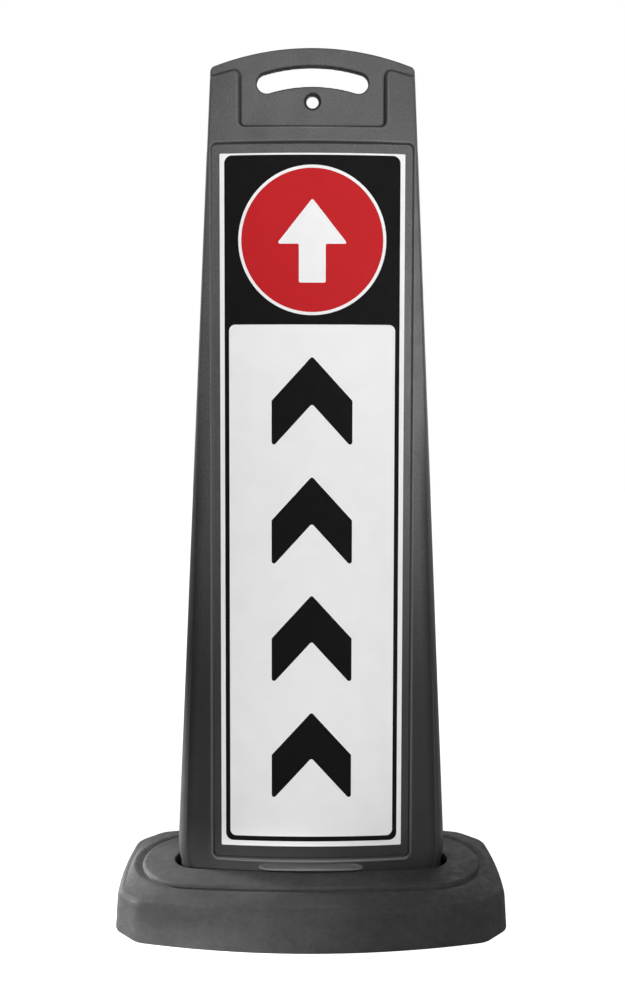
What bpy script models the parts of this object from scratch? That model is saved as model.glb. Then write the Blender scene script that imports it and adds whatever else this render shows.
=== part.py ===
"""Portable sign panel: a hollow moulded panel, its sign sheet and a rubber base that drops over it.

Metres, +Z up. The origin is on the ground in the middle of the footprint, and the sign faces -Y.
"""
import math

import bmesh
import bpy
from mathutils import Vector

# Sign sheet and the recess it is stuck into
SHEET_WIDTH = 0.2413
SHEET_HEIGHT = 0.9144
SHEET_THICKNESS = 0.0006
SHEET_GAP = 0.0003
RECESS_SIDE_MARGIN = 0.0109
RECESS_FOOT_MARGIN = 0.017
RECESS_HEAD_MARGIN = 0.0131
RECESS_DEPTH = 0.0045
RECESS_DRAFT = 0.0012
RECESS_CORNER = 0.007
RECESS_FLOOR_RADIUS = 1.10

# Panel shell
SIDE_BORDER = 0.0057
SIDE_SLOPE_DEGREES = 2.731
HALF_DEPTH_HEAD = 0.019
FACE_SLOPE_DEGREES = 1.220
FACE_RADIUS = 0.85
EDGE_ROLL_HEAD = 0.0035
EDGE_ROLL_FOOT = 0.0155
EDGE_SLANT_SHARE = 0.10
WALL = 0.0035
HEAD_BAND = 0.017
VENT_RADIUS = 0.006
VENT_SPACING = 0.16

# Foot flange that the base stands over
FLANGE_WIDTH = 0.012
FLANGE_THICKNESS = 0.009
FLANGE_FILLET = 0.003
FLANGE_EDGE = 0.001

# Grip zone at the head, thinner than the shoulders beside it
GRIP_THICKNESS = 0.012
GRIP_HALF_WIDTH = 0.0988
GRIP_CORNER = 0.0105
GRIP_DRAFT = 0.50
SHOULDER_CORNER = 0.0065
SHOULDER_INNER_DROP = 0.0211
SHOULDER_OUTER_DROP = 0.0187
HOLE_RADIUS = 0.0080
HOLE_CHAMFER = 0.0034
HOLE_RISE = 0.0375
HOLE_TO_SLOT = 0.0188
SLOT_HEIGHT = 0.026
SLOT_ARC_RADIUS = 0.209
SLOT_END_OFFSET = 0.0595
SLOT_LIP = 0.002
GRIP_BAR = 0.0229
ARCH_RADIUS = 0.36
ARCH_CORNER = 0.004
ARCH_CORNER_DROP = 0.005
ARCH_EDGE = 0.002

# Snap ridges that hold the base down
RIDGE_HALF_LENGTH = 0.0705
RIDGE_HEIGHT = 0.0085
RIDGE_REACH = 0.0052
RIDGE_END = 0.028
RIDGE_PLAY = 0.0026
RIDGE_LAND = 0.003
RIDGE_ROOT = 0.0015
RIDGE_EDGE = 0.001
RIDGE_TIP_HEIGHT_SHARE = 0.45
RIDGE_TIP_REACH_SHARE = 0.08

# Rubber base
BASE_EDGE_HEIGHT = 0.0525
BASE_CROWN = 0.0054
BASE_EDGE_ROUND = 0.007
BASE_DRAFT = 0.0028
BASE_END_LAND = 0.029
BASE_SIDE_LAND = 0.0535
BASE_BOW_RADIUS = 0.89
BASE_END_BOW_RADIUS = 0.75
BASE_CHAMFER = 0.037
BASE_CORNER = 0.018
BASE_FOOT_ROUND = 0.001
PAD_WIDTH = 0.0437
PAD_STEP = 0.0025
SLEEVE_END_CLEARANCE = 0.0033
SLEEVE_SIDE_CLEARANCE = 0.0032
SLEEVE_BOW_RADIUS = 1.70
SLEEVE_END_ROUND = 0.034
SLEEVE_RIM_ROUND = 0.0025
SLEEVE_LIP = 0.012
SLEEVE_RELIEF = 0.003
FLANGE_CLEARANCE = 0.003
SEAT_GAP = 0.0003

# Facets
FACE_STEPS = 9
ROLL_STEPS = 6
ARC_STEPS = 6
BODY_LEVELS = 8
SQUARENESS = 2.8
ROUND_MIDDLE = 0.3
LEAST_RADIUS = 0.001
LEAST_ANGLE = math.radians(0.8)
OVERSHOOT = 0.012

# Heights, stacked up from the ground
pad_top = BASE_EDGE_HEIGHT + BASE_CROWN + PAD_STEP
ridge_lip = pad_top + RIDGE_PLAY
ridge_top = ridge_lip + RIDGE_HEIGHT
recess_bottom = ridge_top + RIDGE_LAND
sheet_bottom = recess_bottom + RECESS_FOOT_MARGIN
sheet_top = sheet_bottom + SHEET_HEIGHT
recess_top = sheet_top + RECESS_HEAD_MARGIN
grip_bottom = recess_top + HEAD_BAND
hole_height = grip_bottom + HOLE_RISE
slot_bottom = hole_height + HOLE_TO_SLOT
slot_top = slot_bottom + SLOT_HEIGHT
crest = slot_top + GRIP_BAR

# Half sizes shared by several pieces
recess_half_width = SHEET_WIDTH / 2 + RECESS_SIDE_MARGIN
grip_half_depth = GRIP_THICKNESS / 2
side_slope = math.tan(math.radians(SIDE_SLOPE_DEGREES))
face_slope = math.tan(math.radians(FACE_SLOPE_DEGREES))


def half_width(z):
    """Half width of the panel at the parting plane."""
    return recess_half_width + SIDE_BORDER + side_slope * (recess_top - z)


def half_depth(z):
    """Half depth of the panel on its centre line."""
    return HALF_DEPTH_HEAD + face_slope * (crest - z)


def face_depth(x, z):
    """Distance of the bowed face from the parting plane."""
    return half_depth(z) - x * x / (2 * FACE_RADIUS)


def floor_depth(x, z):
    """Distance of the recess floor from the parting plane."""
    edge_fall = recess_half_width ** 2 * (1 / FACE_RADIUS - 1 / RECESS_FLOOR_RADIUS) / 2
    centre = half_depth(z) - RECESS_DEPTH - edge_fall
    return centre - x * x / (2 * RECESS_FLOOR_RADIUS)


def edge_roll(z):
    """Width of the rolled edge beside the face, wider where the panel is deeper."""
    share = (crest - z) / crest
    return EDGE_ROLL_HEAD + (EDGE_ROLL_FOOT - EDGE_ROLL_HEAD) * share * share


def arch_height(x):
    """Height of the panel's arched top edge."""
    return crest - ARCH_RADIUS + math.sqrt(ARCH_RADIUS ** 2 - x * x)


def new_object(name, mesh, collection, color=None, roughness=0.5):
    """Put a mesh in a collection, with its own material if it is a part."""
    obj = bpy.data.objects.new(name, mesh)
    collection.objects.link(obj)
    if color is None:
        obj.hide_render = True
        obj.display_type = "WIRE"
        return obj
    material = bpy.data.materials.new(name)
    material.use_nodes = True
    shader = material.node_tree.nodes["Principled BSDF"]
    shader.inputs["Base Color"].default_value = (*color, 1.0)
    shader.inputs["Roughness"].default_value = roughness
    mesh.materials.append(material)
    return obj


def loft(name, loops, closed=False):
    """Skin through loops of equal length; open lofts get caps, closed ones run back to the first."""
    bm = bmesh.new()
    rows = [[bm.verts.new(point) for point in loop] for loop in loops]
    pairs = list(zip(rows, rows[1:]))
    if closed:
        pairs.append((rows[-1], rows[0]))
    for low, high in pairs:
        for i in range(len(low)):
            j = (i + 1) % len(low)
            bm.faces.new((low[i], low[j], high[j], high[i]))
    if not closed:
        bm.faces.new(rows[0])
        bm.faces.new(rows[-1])
    bmesh.ops.recalc_face_normals(bm, faces=bm.faces)
    mesh = bpy.data.meshes.new(name)
    bm.to_mesh(mesh)
    bm.free()
    return mesh


def rounded(corners, radii, steps=ARC_STEPS):
    """Points of a polygon whose corners are rounded; a radius of 0 keeps the corner."""
    points = []
    count = len(corners)
    for i, corner in enumerate(corners):
        here = Vector(corner)
        if radii[i] <= 0:
            points.append(tuple(here))
            continue
        back = (Vector(corners[i - 1]) - here).normalized()
        ahead = (Vector(corners[(i + 1) % count]) - here).normalized()
        half_angle = back.angle(ahead) / 2
        run = radii[i] / math.tan(half_angle)
        centre = here + (back + ahead).normalized() * (radii[i] / math.sin(half_angle))
        start = here + back * run - centre
        end = here + ahead * run - centre
        sweep = start.angle(end)
        for k in range(steps + 1):
            share = k / steps
            arm = (start * math.sin((1 - share) * sweep) + end * math.sin(share * sweep)) / math.sin(sweep)
            points.append(tuple(centre + arm))
    return points


def offset_corners(corners, distance):
    """Move each edge of a counter-clockwise polygon outwards."""
    moved = []
    count = len(corners)
    for i, corner in enumerate(corners):
        here = Vector(corner)
        before = (here - Vector(corners[i - 1])).normalized()
        after = (Vector(corners[(i + 1) % count]) - here).normalized()
        out_before = Vector((before.y, -before.x))
        out_after = Vector((after.y, -after.x))
        bisector = out_before + out_after
        moved.append(tuple(here + bisector * (2 * distance / bisector.length_squared)))
    return moved


def boolean(target, cutter, operation="DIFFERENCE"):
    modifier = target.modifiers.new(cutter.name, "BOOLEAN")
    modifier.operation = operation
    modifier.solver = "EXACT"
    modifier.object = cutter


def mirror_front_to_back(obj):
    modifier = obj.modifiers.new("Back", "MIRROR")
    modifier.use_axis = (False, True, False)
    modifier.merge_threshold = 0.0001


def panel_section(z, grow=0.0):
    """Closed horizontal section of the panel: bowed faces and rolled edges that meet at the parting plane."""
    width = half_width(z) + grow
    roll = edge_roll(z) + max(grow, 0.0)
    face_end = width - roll
    quarter = []
    for i in range(ROLL_STEPS):
        angle = math.pi / 2 * i / ROLL_STEPS
        outward = math.cos(angle) ** (2 / SQUARENESS)
        x = face_end + roll * outward
        share = math.sin(angle) ** (2 / SQUARENESS) * (1 - EDGE_SLANT_SHARE * outward)
        quarter.append((x, (face_depth(x, z) + grow) * share))
    for i in range(FACE_STEPS + 1):
        x = face_end * (1 - i / FACE_STEPS)
        quarter.append((x, face_depth(x, z) + grow))
    half = quarter + [(-x, y) for x, y in reversed(quarter[:-1])]
    whole = half + [(x, -y) for x, y in reversed(half[1:-1])]
    return [(x, y, z) for x, y in whole]


def panel_body(collection):
    """Flange, fillet and tapered body as one skin, taller than the arch that trims it."""
    bend = ROUND_MIDDLE * FLANGE_FILLET
    stations = [(0.0, FLANGE_WIDTH), (FLANGE_THICKNESS - FLANGE_EDGE, FLANGE_WIDTH),
                (FLANGE_THICKNESS, FLANGE_WIDTH - FLANGE_EDGE), (FLANGE_THICKNESS, FLANGE_FILLET),
                (FLANGE_THICKNESS + bend, bend), (FLANGE_THICKNESS + FLANGE_FILLET, 0.0)]
    stations += [(z, 0.0) for z in (ridge_lip, recess_bottom)]
    for i in range(1, BODY_LEVELS):
        stations.append((recess_bottom + (recess_top - recess_bottom) * i / BODY_LEVELS, 0.0))
    stations += [(z, 0.0) for z in (recess_top, grip_bottom, crest + OVERSHOOT)]
    mesh = loft("panel", [panel_section(z, grow) for z, grow in stations])
    return new_object("panel", mesh, collection, color=(0.042, 0.043, 0.044), roughness=0.45)


def recess_block(name, collection, grow=0.0):
    """Block that leaves the sheet's recess: its inner side is the bowed floor."""
    half = recess_half_width + grow
    low = recess_bottom - grow
    high = recess_top + grow
    corner = RECESS_CORNER + grow
    columns = []
    for i in range(ARC_STEPS + 1):
        angle = math.pi / 2 * i / ARC_STEPS
        columns.append((half - corner + corner * math.cos(angle), corner * (1 - math.sin(angle))))
    for i in range(1, FACE_STEPS):
        columns.append(((half - corner) * (1 - i / FACE_STEPS), 0.0))
    columns += [(0.0, 0.0)] + [(-x, trim) for x, trim in reversed(columns)]
    loops = []
    for x, trim in columns:
        bottom = low + trim
        top = high - trim
        outer = half_depth(0.0) + OVERSHOOT
        loops.append([(x, -(floor_depth(x, bottom) - grow), bottom), (x, -(floor_depth(x, top) - grow), top),
                      (x, -outer, top + RECESS_DRAFT), (x, -outer, bottom - RECESS_DRAFT)])
    block = new_object(name, loft(name, loops), collection)
    mirror_front_to_back(block)
    return block


def grip_block(collection):
    """Block that thins the head to the grip, inside the shoulders and over them to the arch."""
    outside = half_width(0.0) + OVERSHOOT
    border = half_width(crest)
    inner = arch_height(GRIP_HALF_WIDTH) - SHOULDER_INNER_DROP
    outer = arch_height(border) - SHOULDER_OUTER_DROP
    slope = (outer - inner) / (border - GRIP_HALF_WIDTH)
    far = inner + slope * (outside - GRIP_HALF_WIDTH)
    over = crest + 2 * OVERSHOOT
    right = [(GRIP_HALF_WIDTH, grip_bottom), (GRIP_HALF_WIDTH, inner), (outside, far), (outside, over)]
    corners = right + [(-x, z) for x, z in reversed(right)]
    rise = half_depth(grip_bottom) - grip_half_depth
    full = GRIP_DRAFT * rise
    loops = []
    for share in (0.0, 1.0):
        depth = grip_half_depth + share * (rise + OVERSHOOT)
        grow = GRIP_DRAFT * (depth - grip_half_depth) - full
        convex = max(GRIP_CORNER + grow, LEAST_RADIUS)
        concave = SHOULDER_CORNER - grow
        radii = [convex, concave, 0, 0, 0, 0, concave, convex]
        outline = rounded(offset_corners(corners, grow), radii)
        loops.append([(x, -depth, z) for x, z in outline])
    block = new_object("grip_block", loft("grip_block", loops), collection)
    mirror_front_to_back(block)
    return block


def slot_outline(grow):
    """Arched finger slot with round ends."""
    half = SLOT_HEIGHT / 2
    centre = slot_bottom + half - SLOT_ARC_RADIUS
    reach = math.asin(SLOT_END_OFFSET / SLOT_ARC_RADIUS)
    points = []
    arc_steps = 2 * ARC_STEPS
    for i in range(arc_steps + 1):
        angle = reach * (1 - 2 * i / arc_steps)
        radius = SLOT_ARC_RADIUS + half + grow
        points.append((radius * math.sin(angle), centre + radius * math.cos(angle)))
    for i in range(1, arc_steps):
        turn = math.pi * i / arc_steps
        angle = math.pi / 2 + reach + turn
        x = -SLOT_END_OFFSET + (half + grow) * math.cos(angle)
        z = centre + SLOT_ARC_RADIUS * math.cos(reach) + (half + grow) * math.sin(angle)
        points.append((x, z))
    for i in range(arc_steps + 1):
        angle = -reach * (1 - 2 * i / arc_steps)
        radius = SLOT_ARC_RADIUS - half - grow
        points.append((radius * math.sin(angle), centre + radius * math.cos(angle)))
    for i in range(1, arc_steps):
        turn = math.pi * i / arc_steps
        angle = -math.pi / 2 - reach + turn
        x = SLOT_END_OFFSET + (half + grow) * math.cos(angle)
        z = centre + SLOT_ARC_RADIUS * math.cos(reach) + (half + grow) * math.sin(angle)
        points.append((x, z))
    return points


def arch_outline(grow):
    """What is cut off above the arch, with round corners where it meets the sides."""
    corner_x = half_width(crest)
    corner_z = arch_height(corner_x)
    outside = half_width(0.0)
    arch = []
    steps = 4 * ARC_STEPS
    for i in range(1, steps):
        x = -corner_x * (1 - 2 * i / steps)
        arch.append((x, arch_height(x)))
    side_low = corner_z - ARCH_CORNER_DROP
    right_low = (half_width(side_low), side_low)
    left_low = (-right_low[0], side_low)
    corners = [left_low, (-corner_x, corner_z), *arch, (corner_x, corner_z), right_low,
               (outside, side_low), (outside, crest + 2 * OVERSHOOT),
               (-outside, crest + 2 * OVERSHOOT), (-outside, side_low)]
    radii = [0] * len(corners)
    for corner in ((-corner_x, corner_z), (corner_x, corner_z)):
        radii[corners.index(corner)] = ARCH_CORNER - grow
    return rounded(offset_corners(corners, grow), radii)


def edged_prism(name, collection, outline, edge, reach):
    """Cutter through the grip's thickness that also rounds both rims by the edge size."""
    half = grip_half_depth
    bend = ROUND_MIDDLE * edge
    profile = [(half + reach, edge), (half, edge), (half - bend, bend), (half - edge, 0.0)]
    stations = [(-depth, grow) for depth, grow in profile] + [(depth, grow) for depth, grow in reversed(profile)]
    loops = [[(x, depth, z) for x, z in outline(grow)] for depth, grow in stations]
    return new_object(name, loft(name, loops), collection)


def hole_cutter(collection):
    """Turned cutter for a warning light's bolt hole, with a chamfer at each face of the grip."""
    half = grip_half_depth
    mouth = HOLE_RADIUS + HOLE_CHAMFER
    front = [(0.0, half + OVERSHOOT), (mouth, half + OVERSHOOT), (mouth, half), (HOLE_RADIUS, half - HOLE_CHAMFER)]
    profile = front + [(radius, -depth) for radius, depth in reversed(front)]
    mesh = bpy.data.meshes.new("bolt_hole")
    mesh.from_pydata([(radius, 0.0, depth) for radius, depth in profile],
                     [(i, i + 1) for i in range(len(profile) - 1)], [])
    cutter = new_object("bolt_hole", mesh, collection)
    cutter.location = (0.0, 0.0, hole_height)
    cutter.rotation_euler = (math.pi / 2, 0.0, 0.0)
    screw = cutter.modifiers.new("Turn", "SCREW")
    screw.steps = 4 * ARC_STEPS
    screw.render_steps = screw.steps
    screw.use_merge_vertices = True
    screw.merge_threshold = 0.00001
    return cutter


def cavity_block(collection):
    """Hollow inside the panel, one wall in from the body, the recess and the band under the grip."""
    floor = FLANGE_THICKNESS + FLANGE_FILLET
    ceiling = grip_bottom - 2 * WALL
    heights = [floor + (ceiling - floor) * i / BODY_LEVELS for i in range(BODY_LEVELS + 1)]
    cavity = new_object("cavity", loft("cavity", [panel_section(z, -WALL) for z in heights]), collection)
    boolean(cavity, recess_block("recess_wall", collection, grow=WALL))
    return cavity


def vent_holes(collection):
    """Moulding vents through the floor of the panel."""
    vent = bpy.data.meshes.new("vents")
    bm = bmesh.new()
    height = FLANGE_THICKNESS + FLANGE_FILLET + 2 * OVERSHOOT
    for side in (-1, 1):
        made = bmesh.ops.create_cone(bm, cap_ends=True, segments=4 * ARC_STEPS, radius1=VENT_RADIUS,
                                     radius2=VENT_RADIUS, depth=height)
        bmesh.ops.translate(bm, verts=made["verts"], vec=(side * VENT_SPACING / 2, 0.0, 0.0))
    bm.to_mesh(vent)
    bm.free()
    return new_object("vents", vent, collection)


def snap_ridge(collection):
    """Ramp on the face whose square underside holds the base down."""
    steps = 8
    half = RIDGE_HALF_LENGTH
    places = [half, half - RIDGE_END / 3, half - RIDGE_END]
    places += [(half - RIDGE_END) * (1 - i / steps) for i in range(1, steps)]
    places += [0.0] + [-x for x in reversed(places)]
    loops = []
    for x in places:
        share = min(1.0, max(RIDGE_TIP_REACH_SHARE, (half - abs(x)) / RIDGE_END))
        reach = RIDGE_REACH * share
        top = ridge_lip + RIDGE_HEIGHT * (RIDGE_TIP_HEIGHT_SHARE + (1 - RIDGE_TIP_HEIGHT_SHARE) * share)
        loops.append([(x, -(face_depth(x, top) - RIDGE_ROOT), top), (x, -face_depth(x, top), top),
                      (x, -(face_depth(x, ridge_lip) + reach), ridge_lip + RIDGE_EDGE),
                      (x, -(face_depth(x, ridge_lip) + reach), ridge_lip),
                      (x, -(face_depth(x, ridge_lip) - RIDGE_ROOT), ridge_lip)])
    ridge = new_object("snap_ridge", loft("snap_ridge", loops), collection)
    mirror_front_to_back(ridge)
    return ridge


def make_panel(parts, cutters):
    panel = panel_body(parts)
    boolean(panel, edged_prism("arch_trim", cutters, arch_outline, ARCH_EDGE, half_depth(0.0)))
    boolean(panel, recess_block("recess", cutters))
    boolean(panel, grip_block(cutters))
    boolean(panel, edged_prism("finger_slot", cutters, slot_outline, SLOT_LIP, OVERSHOOT))
    boolean(panel, hole_cutter(cutters))
    boolean(panel, snap_ridge(cutters), "UNION")
    boolean(panel, cavity_block(cutters))
    boolean(panel, vent_holes(cutters))
    return panel


def make_sign_sheet(parts):
    """Thin sheet that follows the bowed floor of the front recess."""
    columns = 2 * FACE_STEPS
    loops = []
    for i in range(columns + 1):
        x = SHEET_WIDTH * (0.5 - i / columns)
        loop = []
        for z, layer in ((sheet_bottom, 0.0), (sheet_top, 0.0), (sheet_top, 1.0), (sheet_bottom, 1.0)):
            depth = floor_depth(x, z) + SHEET_GAP + layer * SHEET_THICKNESS
            loop.append((x, -depth, z))
        loops.append(loop)
    return new_object("sign_sheet", loft("sign_sheet", loops), parts, color=(0.82, 0.82, 0.81), roughness=0.3)


def sleeve_outline(grow):
    """Corners and radii of the base's opening for the panel: bowed sides and round ends."""
    half_length = half_width(pad_top - SLEEVE_LIP) + SLEEVE_END_CLEARANCE + grow
    depth = half_depth(pad_top - SLEEVE_LIP) + SLEEVE_SIDE_CLEARANCE + grow
    bow = SLEEVE_BOW_RADIUS + grow
    steps = 8
    radius = SLEEVE_END_ROUND + grow
    face_end = half_length - radius
    end_depth = depth - face_end ** 2 / (2 * bow)
    front = []
    for i in range(steps + 1):
        x = face_end * (2 * i / steps - 1)
        front.append((x, -(depth - x * x / (2 * bow))))
    end = []
    end_steps = 2 * ARC_STEPS
    for i in range(1, end_steps):
        angle = -math.pi / 2 + math.pi * i / end_steps
        end.append((face_end + radius * math.cos(angle), end_depth * math.sin(angle)))
    back = [(-x, -y) for x, y in front]
    other = [(-x, -y) for x, y in end]
    return front + end + back + other


def base_outline(inset):
    """Outer outline of the base: bowed sides and ends, and clipped corners."""
    pad = sleeve_outline(PAD_WIDTH)
    full_length = max(x for x, y in pad) + BASE_END_LAND
    full_depth = max(y for x, y in pad) + BASE_SIDE_LAND
    length = full_length - inset
    depth = full_depth - inset
    corner = full_length - BASE_CHAMFER
    clip_line = corner + full_depth - corner * corner / (2 * BASE_BOW_RADIUS) - inset * math.sqrt(2)
    clip_x = BASE_BOW_RADIUS * (1 - math.sqrt(1 - 2 * (clip_line - depth) / BASE_BOW_RADIUS))
    clip_y = BASE_END_BOW_RADIUS * (1 - math.sqrt(1 - 2 * (clip_line - length) / BASE_END_BOW_RADIUS))
    side_steps = 10
    front = []
    for i in range(side_steps + 1):
        x = clip_x * (2 * i / side_steps - 1)
        front.append((x, -(depth - x * x / (2 * BASE_BOW_RADIUS))))
    end_steps = 4
    end = []
    for i in range(end_steps + 1):
        y = clip_y * (2 * i / end_steps - 1)
        end.append((length - y * y / (2 * BASE_END_BOW_RADIUS), y))
    half = front + end
    corners = half + [(-x, -y) for x, y in half]
    half_radii = [BASE_CORNER] + [0] * (side_steps - 1) + [BASE_CORNER] * 2 + [0] * (end_steps - 1) + [BASE_CORNER]
    return rounded(corners, half_radii * 2, steps=3)


def on_ray(outline, angle):
    """Where a ray from the centre at an angle crosses a closed outline."""
    ray = Vector((math.cos(angle), math.sin(angle)))
    for i, start in enumerate(outline):
        a = Vector(start)
        b = Vector(outline[(i + 1) % len(outline)])
        before = ray.cross(a)
        after = ray.cross(b)
        if before <= 0 < after and ray.dot(a + b) > 0:
            point = a + (b - a) * (before / (before - after))
            return point.x, point.y
    raise ValueError("the outline doesn't go round the centre")


def shared_angles(outlines):
    """Directions of all the corners of some outlines, without any pair closer than the least angle."""
    angles = sorted(math.atan2(y, x) % (2 * math.pi) for outline in outlines for x, y in outline)
    kept = []
    for angle in angles:
        if not kept or angle - kept[-1] > LEAST_ANGLE:
            kept.append(angle)
    if kept[0] + 2 * math.pi - kept[-1] <= LEAST_ANGLE:
        kept.pop()
    return kept


def make_rubber_base(parts):
    """One skin: up the outside, over the crown and pad, down the sleeve and back under the flange recess."""
    edge = BASE_EDGE_ROUND
    edge_bend = ROUND_MIDDLE * edge
    step_bend = ROUND_MIDDLE * PAD_STEP
    rim = SLEEVE_RIM_ROUND
    rim_bend = ROUND_MIDDLE * rim
    recess_ceiling = FLANGE_THICKNESS + SEAT_GAP
    recess_grow = (half_width(0.0) + FLANGE_WIDTH + FLANGE_CLEARANCE
                   - half_width(pad_top - SLEEVE_LIP) - SLEEVE_END_CLEARANCE)
    lip_bottom = pad_top - SLEEVE_LIP
    outer = [(0.0, BASE_FOOT_ROUND), (BASE_FOOT_ROUND, 0.0), (BASE_EDGE_HEIGHT - edge, BASE_DRAFT),
             (BASE_EDGE_HEIGHT - edge_bend, BASE_DRAFT + edge_bend), (BASE_EDGE_HEIGHT, BASE_DRAFT + edge)]
    inner = [(BASE_EDGE_HEIGHT + BASE_CROWN, PAD_WIDTH), (pad_top - step_bend, PAD_WIDTH - step_bend),
             (pad_top, PAD_WIDTH - PAD_STEP), (pad_top, rim), (pad_top - rim_bend, rim_bend),
             (pad_top - rim, 0.0), (lip_bottom, 0.0), (lip_bottom - SLEEVE_RELIEF, SLEEVE_RELIEF),
             (recess_ceiling, SLEEVE_RELIEF), (recess_ceiling, recess_grow), (0.0, recess_grow)]
    angles = shared_angles([base_outline(0.0), sleeve_outline(0.0)])
    loops = []
    for z, inset in outer:
        outline = base_outline(inset)
        loops.append([(*on_ray(outline, angle), z) for angle in angles])
    for z, grow in inner:
        outline = sleeve_outline(grow)
        loops.append([(*on_ray(outline, angle), z) for angle in angles])
    mesh = loft("rubber_base", loops, closed=True)
    return new_object("rubber_base", mesh, parts, color=(0.046, 0.047, 0.048), roughness=0.8)


def main():
    for obj in list(bpy.data.objects):
        bpy.data.objects.remove(obj)
    parts = bpy.data.collections.new("Sign panel")
    cutters = bpy.data.collections.new("Cutters")
    bpy.context.scene.collection.children.link(parts)
    bpy.context.scene.collection.children.link(cutters)
    panel = make_panel(parts, cutters)
    sheet = make_sign_sheet(parts)
    sheet.parent = panel
    base = make_rubber_base(parts)
    for piece in (panel, sheet, base):
        piece.data.shade_smooth()
        piece.data.set_sharp_from_angle(angle=math.radians(30))


main()
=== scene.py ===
"""Looks of the portable sign panel: moulded black plastic, crumb rubber and a printed sheet.

Metres, +Z up. The sign faces -Y. The main sizes are those of the solids. The small forms, such as fillets,
rounded corners and the unevenness of the rubber, are worked out further here, inside the solids' box.
"""
import math

import bmesh
import bpy
import numpy as np
from mathutils import Matrix, Vector, noise


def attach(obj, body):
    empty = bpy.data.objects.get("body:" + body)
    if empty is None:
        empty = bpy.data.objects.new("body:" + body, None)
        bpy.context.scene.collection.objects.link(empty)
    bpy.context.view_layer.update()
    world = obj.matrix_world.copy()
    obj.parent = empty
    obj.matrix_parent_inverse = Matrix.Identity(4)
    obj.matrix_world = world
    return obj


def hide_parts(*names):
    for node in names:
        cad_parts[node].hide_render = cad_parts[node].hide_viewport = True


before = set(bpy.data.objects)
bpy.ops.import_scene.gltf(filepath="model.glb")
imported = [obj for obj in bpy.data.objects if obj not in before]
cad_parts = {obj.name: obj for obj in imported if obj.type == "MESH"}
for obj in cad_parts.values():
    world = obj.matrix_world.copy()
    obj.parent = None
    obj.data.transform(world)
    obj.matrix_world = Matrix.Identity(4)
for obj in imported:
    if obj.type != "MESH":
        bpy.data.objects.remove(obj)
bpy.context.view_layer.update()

# Sign sheet and the recess it is stuck into
SHEET_WIDTH = 0.2413
SHEET_HEIGHT = 0.9144
SHEET_THICKNESS = 0.0006
SHEET_GAP = 0.0003
SHEET_CORNER = 0.0015
RECESS_SIDE_MARGIN = 0.0109
RECESS_FOOT_MARGIN = 0.017
RECESS_HEAD_MARGIN = 0.0131
RECESS_DEPTH = 0.0045
RECESS_CORNER = 0.007
RECESS_FLOOR_RADIUS = 1.10
RECESS_FILLET = 0.0015

# Panel shell
SIDE_BORDER = 0.0057
SIDE_TAPER = 0.0477
HALF_DEPTH_HEAD = 0.019
FACE_TAPER = 0.0213
FACE_RADIUS = 0.85
EDGE_ROLL_HEAD = 0.0035
EDGE_ROLL_FOOT = 0.0175
CREASE_TURN = 0.26
CREASE_TOP = 0.40
CREASE_FADE = 0.10
CREASE_ROUND = 0.0008
FOOT_TURN_TOP = 0.090
FOOT_TURN_BOTTOM = 0.060
FOOT_TURN_DEPTH = 0.0048
DROOP_WIDTH = 0.0145
DROOP_DEPTH = 0.0024
DROOP_TOP = 0.70
DROOP_FADE = 0.16
FLANGE_WIDTH = 0.012
FLANGE_THICKNESS = 0.009
FLANGE_FILLET = 0.003
FLANGE_EDGE = 0.001
PARTING_BEAD = 0.0004
BEAD_FADE = 0.012
VENT_RADIUS = 0.006
VENT_SPACING = 0.16
VENT_DEPTH = 0.016
VENT_POINTS = 32

# Paler recess floor, rubbed edges with painted highlights, and painted shade in corners, along edges and in
# the slot: shares up to 1, and reaches in metres
BEND_REACH = 0.0014
BEND_SHARPNESS = 0.00042
RECESS_PALER = 0.15
RECESS_PALER_TOP = 0.75
RECESS_PALER_FADE = 0.2
# Painted highlight along the recess's walls, and how it fades up and down them
WALL_HIGHLIGHT = 0.72
WALL_HIGHLIGHT_FADE = 0.42
WALL_HIGHLIGHT_LOW = 0.3
WALL_HIGHLIGHT_TOP = 0.01
LEDGE_REACH = 0.004
LEDGE_SHADE = 0.7
EDGE_SHADE = 0.50
EDGE_SHADE_FADE = 0.0016
CORNER_SHADE = 0.6
SLOT_SHADE = 0.62
SLOT_SHADE_REACH = 0.0015

# Bands of painted highlight and painted shade along the recess's outline, counted in fillets inside it
WALL_BAND_MIDDLE = -0.3
WALL_BAND_REACH = 1.5
LEDGE_BAND_MIDDLE = -0.5
LEDGE_BAND_REACH = 1.4
LEDGE_BAND_FALL = 1.3
LEDGE_SHADE_MIDDLE = 0.9
LEDGE_SHADE_REACH = 1.0
RECESS_BAND = 2

# Grip zone at the head
HEAD_BAND = 0.017
GRIP_THICKNESS = 0.012
GRIP_HALF_WIDTH = 0.0978
GRIP_CORNER = 0.0105
GRIP_DRAFT = 0.39
GRIP_FOOT_LIFT = 0.0009
SHOULDER_CORNER = 0.0065
SHOULDER_INNER_DROP = 0.0187
SHOULDER_OUTER_DROP = 0.0163
HOLE_RISE = 0.0375
HOLE_RADIUS = 0.0080
HOLE_CHAMFER = 0.0034
HOLE_CHAMFER_CURVE = 1.3
HOLE_POINTS = 48
HOLE_TO_SLOT = 0.0188
SLOT_HEIGHT = 0.026
SLOT_ARC_RADIUS = 0.209
SLOT_END_OFFSET = 0.0595
SLOT_LIP = 0.002
SLOT_STEPS = 40
GRIP_BAR = 0.0229
CUT_REACH = 0.05
ARCH_RADIUS = 0.36
ARCH_CORNER = 0.005
ARCH_EDGE = 0.002

# Snap ridges
RIDGE_PLAY = 0.0026
RIDGE_LAND = 0.003
RIDGE_HALF_LENGTH = 0.0705
RIDGE_HEIGHT = 0.0085
RIDGE_REACH = 0.0052
RIDGE_END = 0.019
RIDGE_EDGE = 0.001
RIDGE_UNDERSIDE = 0.0003
RIDGE_TIP_HEIGHT = 0.45
RIDGE_HOLLOW = 1.6

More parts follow.
